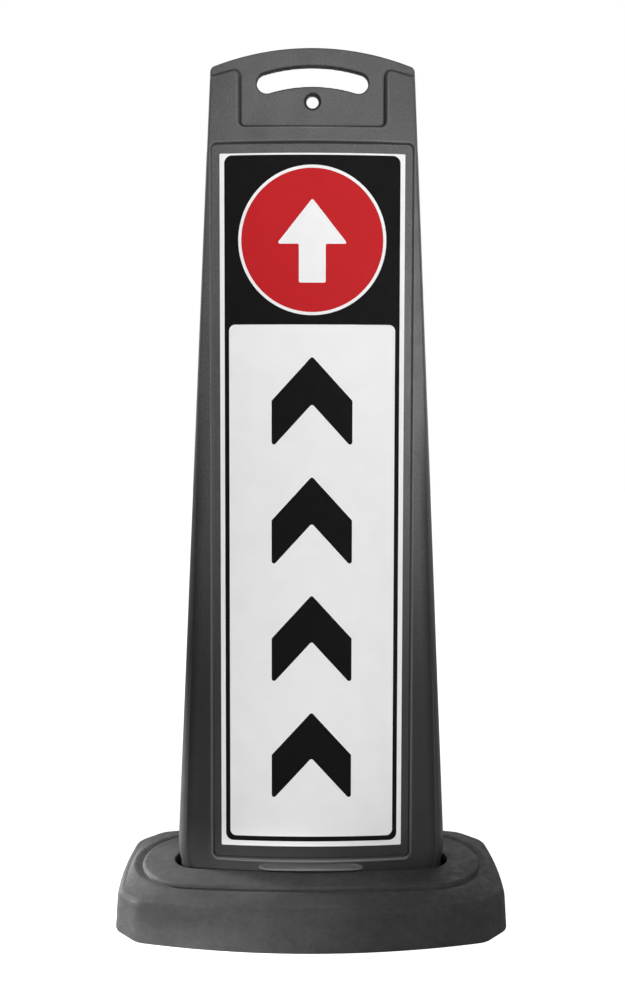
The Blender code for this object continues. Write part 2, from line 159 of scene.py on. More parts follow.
# Rubber base
BASE_EDGE_HEIGHT = 0.0525
BASE_CROWN = 0.0054
BASE_CROWN_SWELL = 0.35
BASE_EDGE_ROUND = 0.009
BASE_EDGE_ROUND_EXTRA = 0.006
BASE_EDGE_LEAN = 0.003
BASE_SOFT_REACH = 0.13
BASE_DRAFT = 0.0028
BASE_END_LAND = 0.029
BASE_SIDE_LAND = 0.05349
BASE_BOW_RADIUS = 0.89
BASE_END_BOW_RADIUS = 0.75
BASE_CHAMFER = 0.037
BASE_CORNER = 0.030
BASE_CORNER_SHRINK = 0.4
BASE_CORNER_LEAST = 0.004
BASE_FOOT_ROUND = 0.001
BASE_UNDERSIDE = 0.006
PAD_WIDTH = 0.0437
PAD_STEP = 0.0025
PAD_GROOVE_WIDTH = 0.0120
PAD_GROOVE_DEPTH = 0.0027
PAD_EDGE_ROUND = 0.0044
SLEEVE_END_CLEARANCE = 0.0033
SLEEVE_SIDE_CLEARANCE = 0.0032
SLEEVE_BOW_RADIUS = 1.70
SLEEVE_END_ROUND = 0.034
SLEEVE_RIM_ROUND = 0.0017
LIP_CLEARANCE = 0.0007
LIP_BOW_RADIUS = 1.12
SLEEVE_LIP = 0.012
SLEEVE_RELIEF = 0.003
FLANGE_CLEARANCE = 0.003
SEAT_GAP = 0.0003

# Slow unevenness of the rubber: pairs of how fine and how deep it is, and the heights over which it sets in
RUBBER_WAVES = ((14, 0.00028), (55, 0.00010))
WAVE_START = 0.004
WAVE_FADE = 0.01

# Heights above the ground
pad_top = BASE_EDGE_HEIGHT + BASE_CROWN + PAD_STEP
ridge_lip = pad_top + RIDGE_PLAY
ridge_top = ridge_lip + RIDGE_HEIGHT
recess_bottom = ridge_top + RIDGE_LAND
sheet_bottom = recess_bottom + RECESS_FOOT_MARGIN
sheet_top = sheet_bottom + SHEET_HEIGHT
recess_top = sheet_top + RECESS_HEAD_MARGIN
grip_bottom = recess_top + HEAD_BAND
hole_height = grip_bottom + HOLE_RISE
slot_bottom = hole_height + HOLE_TO_SLOT
crest = slot_bottom + SLOT_HEIGHT + GRIP_BAR

recess_half_width = SHEET_WIDTH / 2 + RECESS_SIDE_MARGIN
grip_half_depth = GRIP_THICKNESS / 2
slot_centre = slot_bottom + SLOT_HEIGHT / 2 - SLOT_ARC_RADIUS
slot_reach = math.asin(SLOT_END_OFFSET / SLOT_ARC_RADIUS)


# Shape of the panel, as functions of the place on it

def half_width(z):
    return recess_half_width + SIDE_BORDER + SIDE_TAPER * (recess_top - z)


def half_depth(z):
    return HALF_DEPTH_HEAD + FACE_TAPER * (crest - z)


def face_depth(x, z):
    return half_depth(z) - x * x / (2 * FACE_RADIUS)


def floor_depth(x, z):
    edge_fall = recess_half_width ** 2 * (1 / FACE_RADIUS - 1 / RECESS_FLOOR_RADIUS) / 2
    return half_depth(z) - RECESS_DEPTH - edge_fall - x * x / (2 * RECESS_FLOOR_RADIUS)


def edge_roll(z):
    share = (crest - z) / crest
    return EDGE_ROLL_HEAD + (EDGE_ROLL_FOOT - EDGE_ROLL_HEAD) * share * share


def crease_turn(z):
    """Angle of the side's ellipse at which it meets the face: 0 gives a smooth edge."""
    return CREASE_TURN * np.clip((CREASE_TOP - z) / CREASE_FADE, 0, 1)


def foot_turn(z):
    """How far the sides draw in just above the rubber base."""
    drawn = np.clip((FOOT_TURN_TOP - z) / (FOOT_TURN_TOP - FOOT_TURN_BOTTOM), 0, 1)
    above_flange = np.clip((z - 2 * FLANGE_THICKNESS) / FLANGE_THICKNESS, 0, 1)
    return FOOT_TURN_DEPTH * drawn * drawn * above_flange


def arch_height(x):
    return crest - ARCH_RADIUS + np.sqrt(ARCH_RADIUS ** 2 - x * x)


def smooth_share(distance, half_width_of_step):
    """0 below the step, 1 above it, with no crease."""
    share = np.clip(distance / (2 * half_width_of_step) + 0.5, 0.0, 1.0)
    return share * share * (3 - 2 * share)


def recess_inside(x, z):
    """Distance inside the recess's outline, negative outside it."""
    middle = (recess_top + recess_bottom) / 2
    dx = np.abs(x) - (recess_half_width - RECESS_CORNER)
    dz = np.abs(z - middle) - ((recess_top - recess_bottom) / 2 - RECESS_CORNER)
    outside = np.hypot(np.maximum(dx, 0), np.maximum(dz, 0))
    return RECESS_CORNER - outside - np.minimum(np.maximum(dx, dz), 0)


def shoulder_inside(x, z):
    """Distance inside the raised stock round the grip zone, negative in the grip zone."""
    border = half_width(crest)
    inner = arch_height(GRIP_HALF_WIDTH) - SHOULDER_INNER_DROP
    outer = arch_height(border) - SHOULDER_OUTER_DROP
    slope = (outer - inner) / (border - GRIP_HALF_WIDTH)
    beside = np.abs(x) - GRIP_HALF_WIDTH
    under_line = (inner + slope * beside - z) / math.hypot(1, slope)
    below = grip_bottom + GRIP_FOOT_LIFT - z
    corner = SHOULDER_CORNER
    deep = np.minimum(beside, under_line)
    round_corner = corner - np.hypot(np.maximum(corner - beside, 0), np.maximum(corner - under_line, 0))
    shoulder = np.where(deep > corner, deep, round_corner)
    bend = GRIP_CORNER
    near = np.maximum(shoulder, below)
    joined = np.hypot(np.maximum(bend + shoulder, 0), np.maximum(bend + below, 0)) - bend
    at_bend = (shoulder > -bend) & (below > -bend)
    return np.where(near > 0, np.maximum(near, joined), np.where(at_bend, joined, near))


def slot_outside(x, z):
    """Distance outside the finger slot's outline."""
    angle = np.arctan2(x, z - slot_centre)
    along = np.abs(np.hypot(x, z - slot_centre) - SLOT_ARC_RADIUS)
    end_x = SLOT_ARC_RADIUS * math.sin(slot_reach)
    end_z = slot_centre + SLOT_ARC_RADIUS * math.cos(slot_reach)
    to_end = np.hypot(np.abs(x) - end_x, z - end_z)
    return np.where(np.abs(angle) < slot_reach, along, to_end) - SLOT_HEIGHT / 2


def side_edge(z):
    """Where the face ends and the side begins."""
    return half_width(z) - foot_turn(z) - edge_roll(z) * (1 - np.sin(crease_turn(z)))


def edge_droop(x, z):
    """How far the lower face falls away towards its side edges."""
    near = np.clip((np.abs(x) - side_edge(z)) / DROOP_WIDTH + 1, 0, 1)
    return DROOP_DEPTH * near * near * np.clip((DROOP_TOP - z) / DROOP_FADE, 0, 1)


def panel_depth(x, z):
    """Distance of the moulded surface from the parting plane, before the side edges roll in."""
    depth = face_depth(x, z) - edge_droop(x, z)
    recess = smooth_share(recess_inside(x, z), RECESS_FILLET)
    depth = depth + (floor_depth(x, z) - depth) * recess
    rise = half_depth(grip_bottom) - grip_half_depth
    run = GRIP_DRAFT * rise
    climb = smooth_share(shoulder_inside(x, z) + run / 2, run / 2)
    depth = grip_half_depth + (depth - grip_half_depth) * climb
    lip = np.clip(slot_outside(x, z), 0, SLOT_LIP)
    depth = depth - SLOT_LIP + np.sqrt(SLOT_LIP ** 2 - (SLOT_LIP - lip) ** 2)
    hole = np.clip((np.hypot(x, z - hole_height) - HOLE_RADIUS) / HOLE_CHAMFER, 0, 1)
    depth = depth - HOLE_CHAMFER * (1 - hole) ** HOLE_CHAMFER_CURVE
    share = np.clip((RIDGE_HALF_LENGTH - np.abs(x)) / RIDGE_END, 0, 1)
    share = np.sin(share * math.pi / 2)
    top = ridge_lip + RIDGE_HEIGHT * (RIDGE_TIP_HEIGHT + (1 - RIDGE_TIP_HEIGHT) * share)
    down_ramp = np.clip((top - z) / (top - ridge_lip - RIDGE_EDGE), 0, 1)
    under = np.clip((z - ridge_lip) / RIDGE_UNDERSIDE + 1, 0, 1)
    return depth + RIDGE_REACH * share * down_ramp ** RIDGE_HOLLOW * under


def band(place, middle, reach, fall=1.0):
    """1 near a middle place, falling to 0 on both sides of it."""
    return np.clip(reach - fall * np.abs(place - middle), 0, 1)


def bending(x, z):
    """1 on a sharp outer edge of the moulding, -1 in a sharp corner, 0 on flat parts and near openings."""
    step = BEND_REACH
    mean = (panel_depth(x + step, z) + panel_depth(np.abs(x - step), z)
            + panel_depth(x, z + step) + panel_depth(x, z - step)) / 4
    bend = np.clip((panel_depth(x, z) - mean) / BEND_SHARPNESS, -1, 1)
    from_hole = np.hypot(x, z - hole_height) - HOLE_RADIUS - 2 * HOLE_CHAMFER
    clear_of_hole = np.clip(from_hole / HOLE_CHAMFER, 0, 1)
    clear_of_slot = np.clip((slot_outside(x, z) - SLOT_LIP) / SLOT_LIP, 0, 1)
    return bend * clear_of_hole * clear_of_slot


def wear_and_painted_light(x, z):
    """How far the moulding is made pale by rubbed edges and painted highlights, up to 1, or dark by painted
    shade, down to -1.
    """
    x = np.abs(x)
    bend = bending(x, z)
    # Painted highlight along the crease of the sides near the foot
    crease = np.exp(-((x - side_edge(z)) / CREASE_ROUND) ** 2) * crease_turn(z) / CREASE_TURN
    inside = recess_inside(x, z) / RECESS_FILLET
    ledge = np.clip(2 - (z - recess_bottom) / LEDGE_REACH, 0, 1)
    low = np.clip((RECESS_PALER_TOP - z) / RECESS_PALER_FADE, 0, 1)
    floor = RECESS_PALER * np.clip(inside, 0, 1) * low
    below_top = np.clip((recess_top - z) / WALL_HIGHLIGHT_TOP - 1, 0, 1)
    up_wall = np.clip((z - recess_bottom) / WALL_HIGHLIGHT_FADE, WALL_HIGHLIGHT_LOW, below_top)
    # Painted highlight on the recess's walls
    wall = WALL_HIGHLIGHT * band(inside, WALL_BAND_MIDDLE, WALL_BAND_REACH) * up_wall * (1 - ledge)
    # Painted highlight on the ledge at the recess's foot
    lip = ledge * band(inside, LEDGE_BAND_MIDDLE, LEDGE_BAND_REACH, LEDGE_BAND_FALL)
    # Painted shade in the corner of the ledge
    in_corner = ledge * LEDGE_SHADE * band(inside, LEDGE_SHADE_MIDDLE, LEDGE_SHADE_REACH)
    # Pale on outer edges: partly rubbed, partly painted highlight
    rubbed_and_highlit = np.maximum(np.where(in_corner > 0, 0, bend), 0)
    for share in (crease, floor * (1 - ledge), wall, lip):
        rubbed_and_highlit = np.maximum(rubbed_and_highlit, share)
    # Painted shade along the lower face's side edges
    on_face = np.clip(1 - (x - side_edge(z)) / EDGE_SHADE_FADE, 0, 1)
    # Painted shade in inner corners, such as the foot of the grip zone's risers
    painted_shade = np.where(np.abs(inside) > RECESS_BAND, np.clip(-bend, 0, 1) * CORNER_SHADE, 0)
    for share in (in_corner, EDGE_SHADE * on_face * edge_droop(x, z) / DROOP_DEPTH):
        painted_shade = np.maximum(painted_shade, share)
    # Painted shade inside the finger slot
    in_slot = SLOT_SHADE * np.clip(1 - slot_outside(x, z) / SLOT_SHADE_REACH, 0, 1)
    return np.clip(rubbed_and_highlit - painted_shade - in_slot, -1, 1)


# Mesh tools

MERGE_DISTANCE = 1e-6
BISECT_DISTANCE = 1e-7


def add_object(name, data):
    obj = bpy.data.objects.new(name, data)
    bpy.context.scene.collection.objects.link(obj)
    return obj


def mesh_object(name, vertices, faces):
    mesh = bpy.data.meshes.new(name)
    mesh.from_pydata([tuple(v) for v in vertices], [], faces)
    mesh.update()
    return add_object(name, mesh)


def object_from(bm, name):
    """Object with the mesh that was built in bm, which is freed."""
    mesh = bpy.data.meshes.new(name)
    bm.to_mesh(mesh)
    bm.free()
    return add_object(name, mesh)


def smooth_shade(obj, sharp_degrees):
    obj.data.shade_smooth()
    obj.data.set_sharp_from_angle(angle=math.radians(sharp_degrees))


def strip_faces(rows, columns, closed=False):
    """Quads of a grid whose vertices run row by row."""
    faces = []
    last = columns if closed else columns - 1
    for r in range(rows - 1):
        for c in range(last):
            d = (c + 1) % columns
            faces.append((r * columns + c, r * columns + d, (r + 1) * columns + d, (r + 1) * columns + c))
    return faces


def finish_mesh(obj, sharp_degrees):
    bm = bmesh.new()
    bm.from_mesh(obj.data)
    bmesh.ops.remove_doubles(bm, verts=bm.verts, dist=MERGE_DISTANCE)
    bmesh.ops.recalc_face_normals(bm, faces=bm.faces)
    bm.to_mesh(obj.data)
    bm.free()
    smooth_shade(obj, sharp_degrees)


def cut(obj, cutters):
    """Subtract the cutters and keep the result as the object's own mesh."""
    for cutter in cutters:
        modifier = obj.modifiers.new(cutter.name, "BOOLEAN")
        modifier.operation = "DIFFERENCE"
        modifier.solver = "EXACT"
        modifier.object = cutter
    bpy.context.view_layer.update()
    evaluated = obj.evaluated_get(bpy.context.evaluated_depsgraph_get())
    result = bpy.data.meshes.new_from_object(evaluated)
    obj.modifiers.clear()
    old = obj.data
    obj.data = result
    bpy.data.meshes.remove(old)
    result.name = obj.name
    for cutter in cutters:
        bpy.data.objects.remove(cutter)


def prism(name, outline):
    """Cutter with an outline in x and z that runs through the panel along y."""
    count = len(outline)
    vertices = [(x, y, z) for y in (-CUT_REACH, CUT_REACH) for x, z in outline]
    faces = [(i, (i + 1) % count, count + (i + 1) % count, count + i) for i in range(count)]
    faces += [tuple(range(count)), tuple(range(2 * count - 1, count - 1, -1))]
    obj = mesh_object(name, vertices, faces)
    finish_mesh(obj, sharp_degrees=180)
    return obj


def stepped(stops):
    """Values through a list of (end, step) pairs, evenly spaced between ends."""
    values = [stops[0][0]]
    for end, step in stops[1:]:
        start = values[-1]
        count = max(1, round(abs(end - start) / step))
        values += [start + (end - start) * i / count for i in range(1, count + 1)]
    return values


def quarter(z, inset, dz, dinset, steps):
    """Quarter round of a profile, which starts along z and ends along the inset."""
    angles = [math.pi / 2 * i / steps for i in range(steps + 1)]
    return [(z + dz * math.sin(angle), inset + dinset * (1 - math.cos(angle))) for angle in angles]


def quarter_back(z, inset, dz, dinset, steps):
    """Quarter round of a profile, which starts along the inset and ends along z."""
    return [(height, depth) for depth, height in quarter(inset, z, dinset, dz, steps)]


def arc(x, z, radius, start, end, steps):
    """Points of an arc about a centre, with angles counted from +Z towards +X."""
    angles = [start + (end - start) * i / steps for i in range(steps + 1)]
    return [(x + radius * math.sin(angle), z + radius * math.cos(angle)) for angle in angles]


# Panel: first the grid of its mesh, where columns and rows lie and how many there are

GRIP_COLUMN = 0.104
FIXED_COLUMN = 0.1334
MIDDLE_COLUMNS = [(0.0, 0), (0.016, 0.0009), (0.078, 0.0012), (0.090, 0.002), (GRIP_COLUMN, 0.0008)]
SPREAD_COLUMNS = [(0.0, 0), (0.70, 0.1), (1.0, 0.0105)]
BORDER_STEPS = 12
SIDE_STEPS = 14
SIDE_END = 0.98
HEAD_ROW = 1.052
HEAD_STEPS = 92
HEAD_FALL = 0.02
HEAD_ROUNDS = 6
RIM_STEPS = 6
TOP_STEPS = 4


def panel_columns():
    """Half of the columns: kind and share, from the middle outwards."""
    columns = [("fixed", x) for x in stepped(MIDDLE_COLUMNS)]
    columns += [("spread", share) for share in stepped(SPREAD_COLUMNS)[1:]]
    columns += [("border", i / BORDER_STEPS) for i in range(1, BORDER_STEPS + 1)]
    columns += [("side", i / SIDE_STEPS) for i in range(SIDE_STEPS)]
    return columns + [("side", SIDE_END), ("bead", 1.0)]


def column_place(kind, share, z, grow):
    """x of a column at some heights, and how much of the face's depth is left there."""
    width = half_width(z) + grow - foot_turn(z)
    roll = edge_roll(z) + grow
    turn = crease_turn(z)
    face_end = width - roll * (1 - np.sin(turn))
    border_end = face_end - CREASE_ROUND
    fixed_end = np.minimum(FIXED_COLUMN, border_end - CREASE_ROUND)
    if kind == "fixed":
        return np.full_like(z, share), np.ones_like(z)
    if kind == "spread":
        return GRIP_COLUMN + (fixed_end - GRIP_COLUMN) * share, np.ones_like(z)
    if kind == "border":
        return fixed_end + (border_end - fixed_end) * share, np.ones_like(z)
    if kind == "bead":
        return width + PARTING_BEAD * np.clip((recess_top - z) / BEAD_FADE, 0, 1), np.zeros_like(z)
    angle = turn + (math.pi / 2 - turn) * share
    return width - roll * (1 - np.sin(angle)), np.cos(angle) / np.cos(turn)


def panel_rows():
    """Rows from the foot to the head's first one: height, and growth of the section at the flange."""
    rows = [(0.0, FLANGE_WIDTH)]
    rows += quarter(FLANGE_THICKNESS - FLANGE_EDGE, FLANGE_WIDTH, FLANGE_EDGE, -FLANGE_EDGE, steps=4)
    rows += quarter_back(FLANGE_THICKNESS, FLANGE_FILLET, FLANGE_FILLET, -FLANGE_FILLET, steps=5)
    heights = stepped([(FLANGE_THICKNESS + FLANGE_FILLET, 0), (FOOT_TURN_BOTTOM, 0.008),
                       (ridge_lip - 0.0006, 0.0012), (ridge_lip + 0.0012, 0.0003),
                       (recess_bottom - 0.0022, 0.0006), (recess_bottom + 0.008, 0.00035),
                       (recess_bottom + 0.03, 0.003), (recess_top - 0.03, 0.0125),
                       (recess_top - 0.009, 0.003), (recess_top + 0.0025, 0.00035),
                       (grip_bottom - 0.002, 0.0016), (HEAD_ROW, 0.0006)])
    return rows + [(z, 0.0) for z in heights[1:]]


def panel_surface():
    """Grid of x, depth and z over one face of the panel, from the foot to the crest."""
    z_low, grow = np.array(panel_rows()).T
    shares = np.arange(1, HEAD_STEPS + 1) / HEAD_STEPS
    rim_angles = math.pi / 2 * np.arange(1, RIM_STEPS + 1) / RIM_STEPS
    inward = 1 - np.arange(1, TOP_STEPS + 1) / TOP_STEPS
    grid = []
    for kind, share in panel_columns():
        x_low, keep = column_place(kind, share, z_low, grow)
        depth_low = (panel_depth(x_low, z_low) + grow) * keep
        # In the head x and z depend on each other, so they are worked out in rounds
        z = HEAD_ROW + (crest - HEAD_FALL - HEAD_ROW) * shares
        for _ in range(HEAD_ROUNDS):
            x, keep = column_place(kind, share, z, 0.0)
            corner = np.clip(x - (half_width(z) - ARCH_CORNER), 0, ARCH_CORNER)
            top = arch_height(x) - ARCH_CORNER + np.sqrt(ARCH_CORNER ** 2 - corner ** 2) - ARCH_EDGE
            z = HEAD_ROW + (top - HEAD_ROW) * shares
        depth = panel_depth(x, z) * keep
        rim_z = z[-1] + ARCH_EDGE * np.sin(rim_angles)
        rim_depth = depth[-1] * (1 - ARCH_EDGE / grip_half_depth * (1 - np.cos(rim_angles)))
        grid.append((np.concatenate([x_low, x, np.full(RIM_STEPS + TOP_STEPS, x[-1])]),
                     np.concatenate([depth_low, depth, rim_depth, rim_depth[-1] * inward]),
                     np.concatenate([z_low, z, rim_z, np.full(TOP_STEPS, rim_z[-1])])))
    return [np.array([column[k] for column in grid]).T for k in range(3)]


def slot_outline():
    half = SLOT_HEIGHT / 2
    end_z = slot_centre + SLOT_ARC_RADIUS * math.cos(slot_reach)
    end_steps = SLOT_STEPS // 2
    upper = arc(0.0, slot_centre, SLOT_ARC_RADIUS + half, slot_reach, -slot_reach, SLOT_STEPS)
    left = arc(-SLOT_END_OFFSET, end_z, half, -slot_reach, -slot_reach - math.pi, end_steps)
    lower = arc(0.0, slot_centre, SLOT_ARC_RADIUS - half, -slot_reach, slot_reach, SLOT_STEPS)
    right = arc(SLOT_END_OFFSET, end_z, half, slot_reach + math.pi, slot_reach, end_steps)
    return upper + left[1:-1] + lower + right[1:-1]


def circle(x, z, radius, count):
    angles = [2 * math.pi * i / count for i in range(count)]
    return [(x + radius * math.cos(angle), z + radius * math.sin(angle)) for angle in angles]


def vent(side):
    """Cutter for one of the two moulding vents under the foot."""
    bm = bmesh.new()
    bmesh.ops.create_cone(bm, cap_ends=True, segments=VENT_POINTS, radius1=VENT_RADIUS, radius2=VENT_RADIUS,
                          depth=2 * VENT_DEPTH, matrix=Matrix.Translation((side * VENT_SPACING / 2, 0, 0)))
    return object_from(bm, "vent")


def make_panel():
    x, depth, z = [np.concatenate([sign * half[:, :0:-1], half], axis=1)
                   for sign, half in zip((-1, 1, 1), panel_surface())]
    rows, columns = x.shape
    front = np.stack([x, -depth, z], axis=-1).reshape(-1, 3)
    back = front * np.array([1, -1, 1])
    faces = strip_faces(rows, columns)
    size = rows * columns
    faces += [tuple(size + i for i in reversed(face)) for face in faces]
    faces.append((*range(columns), *range(size + columns - 2, size, -1)))
    panel = mesh_object("moulded_panel", np.concatenate([front, back]), faces)
    finish_mesh(panel, sharp_degrees=180)
    hole = circle(0, hole_height, HOLE_RADIUS, HOLE_POINTS)
    cut(panel, [prism("slot", slot_outline()), prism("hole", hole), vent(-1), vent(1)])
    finish_mesh(panel, sharp_degrees=40)
    # The wear attribute holds rubbed edges and painted highlights above 0, and painted shade below 0
    places = np.array([vertex.co for vertex in panel.data.vertices])
    rubbed_and_highlit = panel.data.attributes.new("wear_and_painted_light", "FLOAT", "POINT")
    rubbed_and_highlit.data.foreach_set("value", wear_and_painted_light(places[:, 0], places[:, 2]).astype(np.float32))
    panel.data.materials.clear()
    panel.data.materials.append(plastic_material())
    return panel


# Rubber base

OUTLINE_STEPS = 24
BASE_RAYS = 560
SIDE_RINGS = 12
CROWN_RINGS = 10


def rounded(corners, radii, steps):
    """Points of a polygon whose corners are rounded; a radius of 0 keeps the corner."""
    points = []
    count = len(corners)
    for i, corner in enumerate(corners):
        here = Vector(corner)
        if radii[i] <= 0:
            points.append(tuple(here))
            continue
        back = (Vector(corners[i - 1]) - here).normalized()
        ahead = (Vector(corners[(i + 1) % count]) - here).normalized()
        half_angle = back.angle(ahead) / 2
        run = radii[i] / math.tan(half_angle)
        centre = here + (back + ahead).normalized() * (radii[i] / math.sin(half_angle))
        start = here + back * run - centre
        end = here + ahead * run - centre
        sweep = start.angle(end)
        for k in range(steps + 1):
            share = k / steps
            arm = (start * math.sin((1 - share) * sweep) + end * math.sin(share * sweep)) / math.sin(sweep)
            points.append(tuple(centre + arm))
    return points


def sleeve_outline(grow, is_lip=False):
    """Opening for the panel; its lip follows the panel's faces more closely than the sleeve below."""
    half_length = half_width(pad_top - SLEEVE_LIP) + SLEEVE_END_CLEARANCE + grow
    depth = half_depth(pad_top - SLEEVE_LIP) + (LIP_CLEARANCE if is_lip else SLEEVE_SIDE_CLEARANCE) + grow
    bow = (LIP_BOW_RADIUS if is_lip else SLEEVE_BOW_RADIUS) + grow
    radius = SLEEVE_END_ROUND + grow
    face_end = half_length - radius
    end_depth = depth - face_end ** 2 / (2 * bow)
    front = [face_end * (2 * i / OUTLINE_STEPS - 1) for i in range(OUTLINE_STEPS + 1)]
    half = [(x, -(depth - x * x / (2 * bow))) for x in front]
    for i in range(1, 2 * OUTLINE_STEPS):
        angle = -math.pi / 2 + math.pi * i / (2 * OUTLINE_STEPS)
        half.append((face_end + radius * math.cos(angle), end_depth * math.sin(angle)))
    return half + [(-x, -y) for x, y in half]


def base_outline(inset):
    """The base's footprint, drawn in by an inset: bowed sides and ends with clipped and rounded corners."""
    pad = sleeve_outline(PAD_WIDTH)
    full_length = max(x for x, y in pad) + BASE_END_LAND
    full_depth = max(y for x, y in pad) + BASE_SIDE_LAND
    length = full_length - inset
    depth = full_depth - inset
    corner = full_length - BASE_CHAMFER
    clip_line = corner + full_depth - corner * corner / (2 * BASE_BOW_RADIUS) - inset * math.sqrt(2)
    clip_x = BASE_BOW_RADIUS * (1 - math.sqrt(1 - 2 * (clip_line - depth) / BASE_BOW_RADIUS))
    clip_y = BASE_END_BOW_RADIUS * (1 - math.sqrt(1 - 2 * (clip_line - length) / BASE_END_BOW_RADIUS))
    shares = [2 * i / OUTLINE_STEPS - 1 for i in range(OUTLINE_STEPS + 1)]
    front = [clip_x * share for share in shares]
    end = [clip_y * share for share in shares]
    half = [(x, -(depth - x * x / (2 * BASE_BOW_RADIUS))) for x in front]
    half += [(length - y * y / (2 * BASE_END_BOW_RADIUS), y) for y in end]
    corners = half + [(-x, -y) for x, y in half]
    radius = max(BASE_CORNER - BASE_CORNER_SHRINK * inset, BASE_CORNER_LEAST)
    return rounded(corners, [radius, *[0] * (OUTLINE_STEPS - 1), radius] * 4, steps=8)


def on_rays(outline, angles):
    """Distances from the centre to a closed outline along some directions."""
    x = np.array([p[0] for p in outline])
    y = np.array([p[1] for p in outline])
    turn = np.unwrap(np.arctan2(y, x))
    first = int(np.argmin(turn % (2 * math.pi)))
    x = np.roll(x, -first)
    y = np.roll(y, -first)
    turn = np.unwrap(np.arctan2(y, x))
    turn = np.append(turn, turn[0] + 2 * math.pi)
    x = np.append(x, x[0])
    y = np.append(y, y[0])
    distances = []
    for angle in angles:
        while angle < turn[0]:
            angle += 2 * math.pi
        i = min(int(np.searchsorted(turn, angle, side="right")) - 1, len(turn) - 2)
        normal = Vector((-math.sin(angle), math.cos(angle)))
        a = Vector((x[i], y[i]))
        b = Vector((x[i + 1], y[i + 1]))
        before = a.dot(normal)
        after = b.dot(normal)
        point = a + (b - a) * (before / (before - after) if before != after else 0.0)
        distances.append(point.length)
    return np.array(distances)


def side_rings(angles):
    """Rings of the base's skin from the underside up the outside, over the round of the top edge."""
    outer = [(0.0, BASE_UNDERSIDE)]
    outer += quarter_back(0.0, BASE_FOOT_ROUND, BASE_FOOT_ROUND, -BASE_FOOT_ROUND, steps=3)
    rings = [(np.full_like(angles, z), on_rays(base_outline(inset), angles)) for z, inset in outer]
    foot = rings[-1][1]
    head = on_rays(base_outline(BASE_DRAFT), angles)
    inward = (head - on_rays(base_outline(BASE_DRAFT + BASE_EDGE_ROUND), angles)) / BASE_EDGE_ROUND
    soft = np.clip(1 - (head * np.cos(angles) / BASE_SOFT_REACH) ** 2, 0, 1) ** 2
    size = BASE_EDGE_ROUND + BASE_EDGE_ROUND_EXTRA * soft
    head = head - BASE_EDGE_LEAN * soft * inward
    for share in np.arange(1, SIDE_RINGS) / SIDE_RINGS:
        rings.append((BASE_FOOT_ROUND + (BASE_EDGE_HEIGHT - size - BASE_FOOT_ROUND) * share,
                      foot + (head - foot) * share))
    for z, inset in quarter(0.0, 0.0, 1.0, 1.0, steps=10):
        rings.append((BASE_EDGE_HEIGHT - size * (1 - z), head - size * inset * inward))
    return rings


def crown_rings(angles, outer):
    """Rings over the crowned top, from its outer edge to the groove round the pad."""
    inner = on_rays(sleeve_outline(PAD_WIDTH + PAD_GROOVE_WIDTH), angles)
    rings = []
    for share in np.arange(1, CROWN_RINGS) / CROWN_RINGS:
        lift = BASE_CROWN * ((1 + BASE_CROWN_SWELL) * share - BASE_CROWN_SWELL * share * share)
        rings.append((np.full_like(angles, BASE_EDGE_HEIGHT + lift), outer + (inner - outer) * share))
    return rings


def pad_rings(angles):
    """Rings through the groove, over the pad, down the sleeve and out under the flange."""
    pad = []
    for share in (0.0, 0.2, 0.4, 0.6, 0.8, 0.9, 0.97):
        sunk = math.sin(math.pi / 2 * share)
        pad.append((BASE_EDGE_HEIGHT + BASE_CROWN - PAD_GROOVE_DEPTH * sunk * sunk,
                    PAD_WIDTH + PAD_GROOVE_WIDTH * (1 - share)))
    pad += quarter(pad_top - PAD_EDGE_ROUND, PAD_WIDTH, PAD_EDGE_ROUND, -PAD_EDGE_ROUND, steps=5)
    pad += [(pad_top, PAD_WIDTH * share) for share in (0.85, 0.7, 0.55, 0.4, 0.25, 0.12)]
    rim = SLEEVE_RIM_ROUND
    lip_bottom = pad_top - SLEEVE_LIP
    lip = quarter_back(pad_top, rim, -rim, -rim, steps=6) + [(lip_bottom, 0.0)]
    ceiling = FLANGE_THICKNESS + SEAT_GAP
    room = half_width(0.0) + FLANGE_WIDTH + FLANGE_CLEARANCE - half_width(lip_bottom) - SLEEVE_END_CLEARANCE
    below = [(lip_bottom - SLEEVE_RELIEF, SLEEVE_RELIEF), (ceiling, SLEEVE_RELIEF),
             (ceiling, room), (0.0, room)]
    rings = []
    for places, is_lip in ((pad, False), (lip, True), (below, False)):
        for z, grow in places:
            rings.append((np.full_like(angles, z), on_rays(sleeve_outline(grow, is_lip), angles)))
    return rings


def rubber_wave(point):
    """How far the slow unevenness of a thick rubber moulding draws the skin in at a point, 0 or less."""
    wave = sum(depth * noise.noise(point * scale) for scale, depth in RUBBER_WAVES)
    return min(0.0, wave) * min(1.0, max(0.0, (point.z - WAVE_START) / WAVE_FADE))


def make_base():
    angles = np.arange(BASE_RAYS) * 2 * math.pi / BASE_RAYS
    rings = side_rings(angles)
    rings += crown_rings(angles, rings[-1][1])
    rings += pad_rings(angles)
    vertices = [(radius * math.cos(angle), radius * math.sin(angle), z)
                for heights, radii in rings for angle, radius, z in zip(angles, radii, heights)]
    faces = strip_faces(len(rings), BASE_RAYS, closed=True)
    last = (len(rings) - 1) * BASE_RAYS
    for i in range(BASE_RAYS):
        j = (i + 1) % BASE_RAYS
        faces.append((last + i, last + j, j, i))
    base = mesh_object("crumb_rubber_base", vertices, faces)
    bm = bmesh.new()
    bm.from_mesh(base.data)
    bmesh.ops.recalc_face_normals(bm, faces=bm.faces)
    bm.normal_update()
    shifts = [vert.normal * rubber_wave(vert.co) for vert in bm.verts]
    for vert, shift in zip(bm.verts, shifts):
        vert.co += shift
    bm.to_mesh(base.data)
    bm.free()
    smooth_shade(base, sharp_degrees=50)
    base.data.materials.append(rubber_material())
    return base


# Printed sheet

PRINT_STEP = 0.008


def sheet_y(x, z, lift):
    return -(floor_depth(x, z) + SHEET_GAP + SHEET_THICKNESS + lift)


def round_rectangle(left, right, bottom, top, radius):
    corners = [(right, bottom), (right, top), (left, top), (left, bottom)]
    return rounded(corners, [radius] * 4, steps=10)


